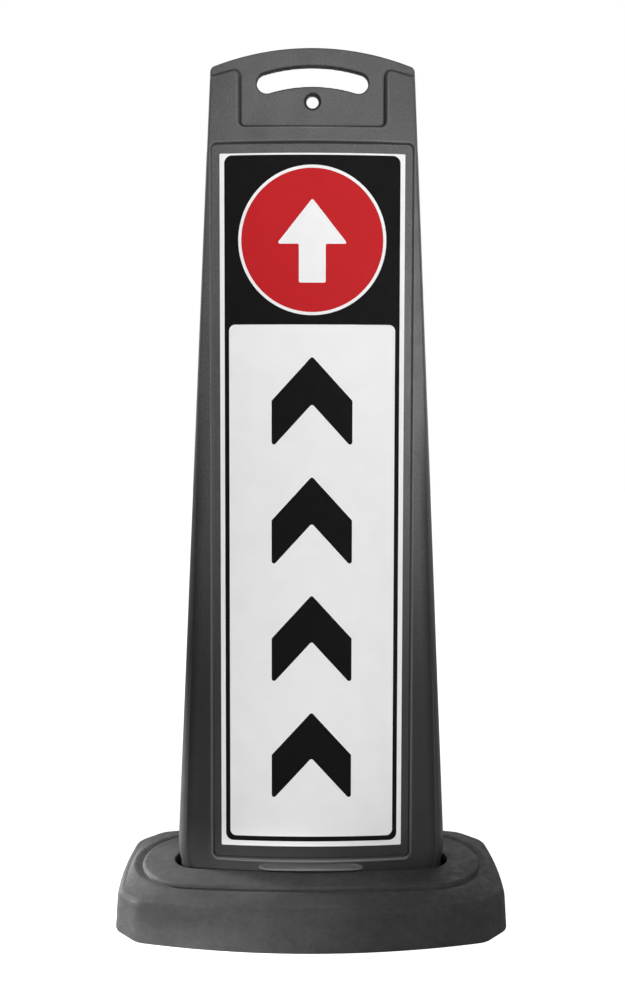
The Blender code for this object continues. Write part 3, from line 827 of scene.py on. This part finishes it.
def printed(name, outline, lift, thickness, material, holes=()):
    """Flat outline in x and z, filled, divided and bent onto the recess's floor."""
    bm = bmesh.new()
    for loop in (outline, *holes):
        verts = [bm.verts.new((x, 0.0, z)) for x, z in loop]
        for i in range(len(verts)):
            bm.edges.new((verts[i - 1], verts[i]))
    bmesh.ops.triangle_fill(bm, use_beauty=True, edges=bm.edges[:])
    line = math.ceil(min(x for x, z in outline) / PRINT_STEP) * PRINT_STEP
    while line < max(x for x, z in outline):
        bmesh.ops.bisect_plane(bm, geom=bm.verts[:] + bm.edges[:] + bm.faces[:], plane_co=(line, 0, 0),
                               plane_no=(1, 0, 0), dist=BISECT_DISTANCE)
        line += PRINT_STEP
    bmesh.ops.recalc_face_normals(bm, faces=bm.faces)
    for face in bm.faces:
        if face.normal.y > 0:
            face.normal_flip()
    made = bmesh.ops.extrude_face_region(bm, geom=bm.faces[:])
    moved = {v for v in made["geom"] if isinstance(v, bmesh.types.BMVert)}
    for vert in bm.verts:
        vert.co.y = sheet_y(vert.co.x, vert.co.z, lift if vert in moved else lift - thickness)
    bmesh.ops.recalc_face_normals(bm, faces=bm.faces)
    obj = object_from(bm, name)
    smooth_shade(obj, sharp_degrees=30)
    obj.data.materials.append(material)
    return obj


# Camera, light and floor

CAMERA_PLACE = Vector((-0.0048, -1.3407, 0.6582))
CAMERA_PITCH = 0.0768
CAMERA_YAW = 0.0043
CAMERA_ROLL = 0.0019
CAMERA_FOCAL_PIXELS = 1002.46
FRAME_HEIGHT = 1000
SENSOR_HEIGHT = 36.0


def make_camera():
    data = bpy.data.cameras.new("camera")
    data.sensor_fit = "VERTICAL"
    data.sensor_height = SENSOR_HEIGHT
    data.lens = SENSOR_HEIGHT * CAMERA_FOCAL_PIXELS / FRAME_HEIGHT
    camera = add_object("camera", data)
    level = math.cos(CAMERA_PITCH)
    ahead = Vector((math.sin(CAMERA_YAW) * level, math.cos(CAMERA_YAW) * level, -math.sin(CAMERA_PITCH)))
    turn = ahead.to_track_quat("-Z", "Y").to_matrix() @ Matrix.Rotation(CAMERA_ROLL, 3, "Z")
    camera.matrix_world = Matrix.Translation(CAMERA_PLACE) @ turn.to_4x4()
    bpy.context.scene.camera = camera


def aimed_light(name, kind, place, target, power):
    data = bpy.data.lights.new(name, kind)
    data.energy = power
    direction = Vector(target) - Vector(place)
    turn = direction.to_track_quat("-Z", "Y").to_matrix()
    add_object(name, data).matrix_world = Matrix.Translation(place) @ turn.to_4x4()
    return data


def area_light(name, place, target, width, height, power):
    data = aimed_light(name, "AREA", place, target, power)
    data.shape = "RECTANGLE"
    data.size = width
    data.size_y = height


def spot_light(name, place, target, degrees, softness, power):
    data = aimed_light(name, "SPOT", place, target, power)
    data.spot_size = math.radians(degrees)
    data.spot_blend = 1.0
    data.shadow_soft_size = softness


def around(target, turn, rise, distance):
    """Place at a distance from the target: turn is counted from -Y towards +X, in degrees."""
    turn = math.radians(turn)
    rise = math.radians(rise)
    direction = Vector((math.sin(turn) * math.cos(rise), -math.cos(turn) * math.cos(rise), math.sin(rise)))
    return Vector(target) + direction * distance


def make_lights():
    """Soft lamps. An area's last numbers are width, height and power, a spot's angle, softness and power."""
    head = (0, 0, 0.9)
    crown = (0, 0, 1.05)
    foot = (-0.02, -0.06, 0.08)
    end_top = (-0.22, -0.05, 0.06)
    end_side = (-0.22, -0.04, 0.08)
    corner = (-0.24, -0.145, -0.02)
    front_foot = (-0.08, -0.14, -0.01)
    area_light("front_right", around(head, 28, 3, 1.9), head, 0.6, 0.5, 18.0)
    area_light("front_left", around(head, -26, 20, 1.9), head, 0.6, 0.6, 5.6)
    area_light("head", around(crown, 0, 20, 0.9), crown, 0.4, 0.3, 2.0)
    spot_light("above_foot", around(foot, 0, 74, 1.42), foot, 13, 0.12, 34)
    area_light("back", (0.5, 2.0, 1.1), (0, 0, 0.6), 1.0, 0.8, 8.0)
    spot_light("left_high", around(end_top, -100, 40, 1.0), end_top, 26, 0.1, 20)
    spot_light("left_top", around(end_top, -106, 64, 1.0), end_top, 15, 0.1, 56)
    spot_light("left_low", around(end_side, -118, 12, 1.0), end_side, 22, 0.1, 150)
    spot_light("corner_low", around(corner, -45, 8, 1.0), corner, 12.5, 0.06, 103)
    spot_light("front_low", around(front_foot, -25, 8, 1.0), front_foot, 14, 0.06, 54)


ROOM_LEVEL = 0.15
ROOM_FRONT_LEVEL = 0.10
ROOM_BACK_LEVEL = 1.0
ROOM_FRONT_END = -0.3
ROOM_BACK_START = 0.2


def number_node(tree, operation, first, second):
    """Math node whose inputs are numbers or sockets."""
    node = tree.nodes.new("ShaderNodeMath")
    node.operation = operation
    for socket, value in zip(node.inputs, (first, second)):
        if isinstance(value, (int, float)):
            socket.default_value = value
        else:
            tree.links.new(value, socket)
    return node.outputs["Value"]


def background(tree, strength):
    node = tree.nodes.new("ShaderNodeBackground")
    node.inputs["Color"].default_value = (1.0, 1.0, 1.0, 1.0)
    node.inputs["Strength"].default_value = strength
    return node.outputs["Background"]


def mix_shaders(tree, factor, first, second):
    node = tree.nodes.new("ShaderNodeMixShader")
    tree.links.new(factor, node.inputs["Fac"])
    tree.links.new(first, node.inputs[1])
    tree.links.new(second, node.inputs[2])
    return node.outputs["Shader"]


def seen_directly(tree, rays):
    """1 for what the camera sees, straight or through something clear."""
    return number_node(tree, "MAXIMUM", rays.outputs["Is Camera Ray"], rays.outputs["Is Transmission Ray"])


def make_world():
    """White backdrop; in reflections it stays white behind the sign and is a dim room in front of it."""
    world = bpy.data.worlds.new("studio")
    bpy.context.scene.world = world
    world.use_nodes = True
    tree = world.node_tree
    tree.nodes.clear()
    rays = tree.nodes.new("ShaderNodeLightPath")
    place = tree.nodes.new("ShaderNodeTexCoord").outputs["Generated"]
    behind = map_range(tree, axis(tree, place, "Y"), ROOM_FRONT_END, ROOM_BACK_START, 0.0, 1.0)
    front = background(tree, ROOM_FRONT_LEVEL)
    back = background(tree, ROOM_BACK_LEVEL)
    mirrored = mix_shaders(tree, behind, front, back)
    lit = mix_shaders(tree, rays.outputs["Is Glossy Ray"], background(tree, ROOM_LEVEL), mirrored)
    shown = mix_shaders(tree, seen_directly(tree, rays), lit, background(tree, 1.0))
    out = tree.nodes.new("ShaderNodeOutputWorld")
    tree.links.new(shown, out.inputs["Surface"])


FLOOR_SIZE = 8.0
FLOOR_SHADE = 0.62
FLOOR_GLOW_NEAR = 0.88
FLOOR_GLOW_FAR = 1.0
FLOOR_GLOW_START = 0.4
FLOOR_GLOW_END = 1.1
FLOOR_MIRRORED = 0.2


def make_floor():
    """Pale floor that the camera sees as white, apart from the shadow near the base."""
    size = FLOOR_SIZE
    floor = mesh_object("floor", [(-size, -size, 0), (size, -size, 0), (size, size, 0), (-size, size, 0)],
                        [(0, 1, 2, 3)])
    material, tree, shader, place = shader_tree("floor")
    shader.inputs["Base Color"].default_value = (FLOOR_SHADE, FLOOR_SHADE, FLOOR_SHADE, 1.0)
    shader.inputs["Roughness"].default_value = 0.9
    shader.inputs["Emission Color"].default_value = (1.0, 1.0, 1.0, 1.0)
    rays = tree.nodes.new("ShaderNodeLightPath")
    away = vector_node(tree, "LENGTH", place).outputs["Value"]
    glow = map_range(tree, away, FLOOR_GLOW_START, FLOOR_GLOW_END, FLOOR_GLOW_NEAR, FLOOR_GLOW_FAR)
    camera_part = number_node(tree, "MULTIPLY", seen_directly(tree, rays), glow)
    mirrored_part = number_node(tree, "MULTIPLY", rays.outputs["Is Glossy Ray"], FLOOR_MIRRORED)
    strength = number_node(tree, "ADD", camera_part, mirrored_part)
    tree.links.new(strength, shader.inputs["Emission Strength"])
    floor.data.materials.append(material)


# Materials

# Painted shade: the plastic's colour runs from PLASTIC_FOOT, dark at the foot, to PLASTIC_HEAD, pale at the
# head
PLASTIC_FOOT = (0.009, 0.009, 0.009)
PLASTIC_HEAD = (0.062, 0.062, 0.062)
HEIGHT_SHADE_START = 0.26
HEIGHT_SHADE_END = 0.62
# Painted shade round the bolt hole's chamfer
HOLE_SHADE = 0.35
HOLE_SHADE_FADE = 0.0006
# Pale colour of rubbed edges and painted highlights; darkest painted shade and its roughness
PLASTIC_PALE_MARK = (0.15, 0.15, 0.15)
PALE_MARK_STRENGTH = 0.7
DUST_SHARE = 0.10
DUST_TOP = 0.13
DUST_BOTTOM = 0.085
DEEPEST_SHADE = 0.15
SHADED_ROUGHNESS = 0.95
RUBBER_DARK = (0.026, 0.026, 0.026)
RUBBER_PALE = (0.040, 0.040, 0.040)
VINYL_WHITE = (0.92, 0.92, 0.92)
INK_BLACK = (0.004, 0.004, 0.004)
INK_RED = (0.55, 0.014, 0.018)
VINYL_CLOUD = 0.97
NOISE_LOW = 0.3
NOISE_HIGH = 0.7


def shader_tree(name):
    material = bpy.data.materials.new(name)
    material.use_nodes = True
    tree = material.node_tree
    place = tree.nodes.new("ShaderNodeTexCoord").outputs["Object"]
    return material, tree, tree.nodes["Principled BSDF"], place


def noise_node(tree, place, scale, detail=3.0, roughness=0.5):
    node = tree.nodes.new("ShaderNodeTexNoise")
    node.inputs["Scale"].default_value = scale
    node.inputs["Detail"].default_value = detail
    node.inputs["Roughness"].default_value = roughness
    tree.links.new(place, node.inputs["Vector"])
    return node.outputs["Fac"]


def map_range(tree, value, low, high, to_low, to_high):
    node = tree.nodes.new("ShaderNodeMapRange")
    for name, number in (("From Min", low), ("From Max", high), ("To Min", to_low), ("To Max", to_high)):
        node.inputs[name].default_value = number
    tree.links.new(value, node.inputs["Value"])
    return node.outputs["Result"]


def mix_colors(tree, factor, first, second):
    node = tree.nodes.new("ShaderNodeMix")
    node.data_type = "RGBA"
    tree.links.new(factor, node.inputs["Factor"])
    for socket, color in ((node.inputs[6], first), (node.inputs[7], second)):
        if isinstance(color, tuple):
            socket.default_value = (*color, 1.0)
        else:
            tree.links.new(color, socket)
    return node.outputs[2]


def bump(tree, height, distance, strength, normal=None):
    node = tree.nodes.new("ShaderNodeBump")
    node.inputs["Distance"].default_value = distance
    node.inputs["Strength"].default_value = strength
    tree.links.new(height, node.inputs["Height"])
    if normal is not None:
        tree.links.new(normal, node.inputs["Normal"])
    return node.outputs["Normal"]


def mottled(tree, place, scale, detail, low, high):
    """Noise that is spread between a low and a high value."""
    return map_range(tree, noise_node(tree, place, scale, detail), NOISE_LOW, NOISE_HIGH, low, high)


def vector_node(tree, operation, first, second=None):
    """Vector math node; its second input is a fixed vector, where it has one."""
    node = tree.nodes.new("ShaderNodeVectorMath")
    node.operation = operation
    tree.links.new(first, node.inputs[0])
    if second is not None:
        node.inputs[1].default_value = second
    return node


def scaled_color(tree, color, factor):
    node = vector_node(tree, "SCALE", color)
    tree.links.new(factor, node.inputs["Scale"])
    return node.outputs["Vector"]


def axis(tree, place, name):
    node = tree.nodes.new("ShaderNodeSeparateXYZ")
    tree.links.new(place, node.inputs["Vector"])
    return node.outputs[name]


def hole_shade(tree, place):
    """Multiplier that is low round the bolt hole: painted shade on the chamfer."""
    flat = vector_node(tree, "MULTIPLY", place, (1.0, 0.0, 1.0)).outputs["Vector"]
    from_hole = vector_node(tree, "DISTANCE", flat, (0.0, 0.0, hole_height)).outputs["Value"]
    edge = HOLE_RADIUS + HOLE_CHAMFER
    return map_range(tree, from_hole, edge - HOLE_SHADE_FADE, edge + HOLE_SHADE_FADE, HOLE_SHADE, 1.0)


def plastic_material():
    """Black polyethylene, painted darker towards the foot, with rubbed edges and painted highlights, painted
    shade in hollows, orange peel and fine grain.
    """
    material, tree, shader, place = shader_tree("black_polyethylene")
    height = axis(tree, place, "Z")
    # Painted shade: the colour darkens from the head down to the foot
    lit_by_height = map_range(tree, height, HEIGHT_SHADE_START, HEIGHT_SHADE_END, 0.0, 1.0)
    lit_by_height.node.interpolation_type = "SMOOTHSTEP"
    tone_by_height = mix_colors(tree, lit_by_height, PLASTIC_FOOT, PLASTIC_HEAD)
    wear_and_light = tree.nodes.new("ShaderNodeAttribute")
    wear_and_light.attribute_name = "wear_and_painted_light"
    wear_and_light = wear_and_light.outputs["Fac"]
    shade = mottled(tree, place, scale=9.0, detail=3.0, low=0.93, high=1.07)
    grain = mottled(tree, place, scale=480.0, detail=2.0, low=0.74, high=1.26)
    # Painted shade: below 0 the attribute darkens the colour
    painted_shade = map_range(tree, wear_and_light, -1.0, 0.0, DEEPEST_SHADE, 1.0)
    for factor in (grain, hole_shade(tree, place), painted_shade):
        shade = number_node(tree, "MULTIPLY", shade, factor)
    # Above 0 the attribute pales the colour: rubbed edges and painted highlights
    rubbed_and_highlit = map_range(tree, wear_and_light, 0.0, 1.0, 0.0, PALE_MARK_STRENGTH)
    dusty = map_range(tree, height, DUST_TOP, DUST_BOTTOM, 0.0, DUST_SHARE)
    paler = number_node(tree, "MAXIMUM", rubbed_and_highlit, dusty)
    color = mix_colors(tree, paler, scaled_color(tree, tone_by_height, shade), PLASTIC_PALE_MARK)
    tree.links.new(color, shader.inputs["Base Color"])
    rough = mottled(tree, place, scale=40.0, detail=4.0, low=0.39, high=0.49)
    # In painted shade the plastic is also made matt and loses its specular
    matt = map_range(tree, wear_and_light, -1.0, 0.0, SHADED_ROUGHNESS, 0.0)
    tree.links.new(number_node(tree, "MAXIMUM", rough, matt), shader.inputs["Roughness"])
    gloss = map_range(tree, wear_and_light, -1.0, 0.0, 0.0, 0.5)
    tree.links.new(gloss, shader.inputs["Specular IOR Level"])
    grit = bump(tree, noise_node(tree, place, 750.0, 2.0), distance=0.0002, strength=0.9)
    peel = bump(tree, noise_node(tree, place, 380.0, 2.0), distance=0.0003, strength=0.5, normal=grit)
    waves = bump(tree, noise_node(tree, place, 22.0, 2.0), distance=0.002, strength=0.12, normal=peel)
    tree.links.new(waves, shader.inputs["Normal"])
    return material


def rubber_material():
    """Rubber pressed from crumbs: matt, mottled and grainy."""
    material, tree, shader, place = shader_tree("recycled_rubber")
    cloudy = mottled(tree, place, scale=18.0, detail=4.0, low=0.0, high=1.0)
    color = mix_colors(tree, cloudy, RUBBER_DARK, RUBBER_PALE)
    crumb = tree.nodes.new("ShaderNodeTexVoronoi")
    crumb.inputs["Scale"].default_value = 520.0
    tree.links.new(place, crumb.inputs["Vector"])
    flecks = map_range(tree, axis(tree, crumb.outputs["Color"], "X"), 0.0, 1.0, 0.88, 1.12)
    patches = mottled(tree, place, scale=150.0, detail=2.0, low=0.93, high=1.07)
    shade = number_node(tree, "MULTIPLY", flecks, patches)
    tree.links.new(scaled_color(tree, color, shade), shader.inputs["Base Color"])
    rough = mottled(tree, place, scale=90.0, detail=4.0, low=0.62, high=0.82)
    tree.links.new(rough, shader.inputs["Roughness"])
    shader.inputs["Specular IOR Level"].default_value = 0.22
    granules = bump(tree, crumb.outputs["Distance"], distance=0.0005, strength=0.8)
    pitted = noise_node(tree, place, 640.0, 3.0, roughness=0.6)
    pits = bump(tree, pitted, distance=0.0006, strength=0.85, normal=granules)
    lumps = bump(tree, noise_node(tree, place, 110.0, 3.0), distance=0.0012, strength=0.35, normal=pits)
    tree.links.new(lumps, shader.inputs["Normal"])
    return material


def vinyl_material(name, color, roughness):
    material, tree, shader, place = shader_tree(name)
    shade = tuple(VINYL_CLOUD * c for c in color)
    cloudy = mottled(tree, place, scale=30.0, detail=3.0, low=0.0, high=1.0)
    tree.links.new(mix_colors(tree, cloudy, color, shade), shader.inputs["Base Color"])
    rough = mottled(tree, place, scale=60.0, detail=3.0, low=roughness - 0.04, high=roughness + 0.05)
    tree.links.new(rough, shader.inputs["Roughness"])
    shader.inputs["Specular IOR Level"].default_value = 0.1
    grain = bump(tree, noise_node(tree, place, 260.0, 2.0), distance=0.00005, strength=0.25)
    tree.links.new(grain, shader.inputs["Normal"])
    return material


# Graphic on the sheet

INK = 0.00006
PLATE_HALF_WIDTH = 0.1145
PLATE_BOTTOM = 0.0985
PLATE_TOP = 1.0035
PLATE_CORNER = 0.010
WINDOW_HALF_WIDTH = 0.1087
WINDOW_BOTTOM = 0.1050
WINDOW_TOP = 0.7860
WINDOW_CORNER = 0.008
DISC_HEIGHT = 0.8945
DISC_RADIUS = 0.0924
RING_RADIUS = 0.0964
DISC_POINTS = 96
CHEVRON_HALF_WIDTH = 0.053
CHEVRON_RISE = 0.058
CHEVRON_BAND = 0.062
CHEVRON_CORNER = 0.003
CHEVRON_TOPS = (0.745, 0.588, 0.431, 0.274)
ARROW_TOP = 0.948
ARROW_BOTTOM = 0.840
ARROW_HEAD = 0.058
ARROW_HALF_WIDTH = 0.046
ARROW_SHAFT = 0.0175
ARROW_CORNER = 0.002


def chevron(top):
    low = top - CHEVRON_RISE
    return [(0.0, top), (-CHEVRON_HALF_WIDTH, low), (-CHEVRON_HALF_WIDTH, low - CHEVRON_BAND),
            (0.0, top - CHEVRON_BAND), (CHEVRON_HALF_WIDTH, low - CHEVRON_BAND), (CHEVRON_HALF_WIDTH, low)]


def arrow():
    neck = ARROW_TOP - ARROW_HEAD
    return [(0.0, ARROW_TOP), (-ARROW_HALF_WIDTH, neck), (-ARROW_SHAFT, neck), (-ARROW_SHAFT, ARROW_BOTTOM),
            (ARROW_SHAFT, ARROW_BOTTOM), (ARROW_SHAFT, neck), (ARROW_HALF_WIDTH, neck)]


def soft_corners(outline, radius):
    return rounded(outline, [radius] * len(outline), steps=4)


def make_sheet():
    """The vinyl sheet, and its print in layers of ink that lie one on the other."""
    white = vinyl_material("white_vinyl", VINYL_WHITE, roughness=0.58)
    black = vinyl_material("black_ink", INK_BLACK, roughness=0.62)
    red = vinyl_material("red_ink", INK_RED, roughness=0.58)
    half = SHEET_WIDTH / 2
    vinyl = round_rectangle(-half, half, sheet_bottom, sheet_top, SHEET_CORNER)
    sheet = printed("vinyl_sheet", vinyl, 0.0, SHEET_THICKNESS, white)
    plate = round_rectangle(-PLATE_HALF_WIDTH, PLATE_HALF_WIDTH, PLATE_BOTTOM, PLATE_TOP, PLATE_CORNER)
    window = round_rectangle(-WINDOW_HALF_WIDTH, WINDOW_HALF_WIDTH, WINDOW_BOTTOM, WINDOW_TOP, WINDOW_CORNER)
    ring = circle(0, DISC_HEIGHT, RING_RADIUS, DISC_POINTS)
    disc = circle(0, DISC_HEIGHT, DISC_RADIUS, DISC_POINTS)
    prints = [printed("black_frame", plate, INK, INK, black, [window]),
              printed("white_ring", ring, 2 * INK, INK, white),
              printed("red_disc", disc, 3 * INK, INK, red),
              printed("white_arrow", soft_corners(arrow(), ARROW_CORNER), 4 * INK, INK, white)]
    for number, top in enumerate(CHEVRON_TOPS, start=1):
        outline = soft_corners(chevron(top), CHEVRON_CORNER)
        prints.append(printed(f"black_chevron_{number}", outline, INK, INK, black))
    return sheet, prints


def main():
    make_camera()
    make_world()
    make_floor()
    make_lights()
    panel = make_panel()
    base = make_base()
    sheet, prints = make_sheet()
    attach(panel, "panel")
    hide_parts("panel")
    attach(base, "base")
    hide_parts("rubber_base")
    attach(sheet, "panel")
    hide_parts("sign_sheet")
    for piece in prints:
        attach(piece, "panel")
    bpy.context.scene.view_settings.view_transform = "Standard"


main()
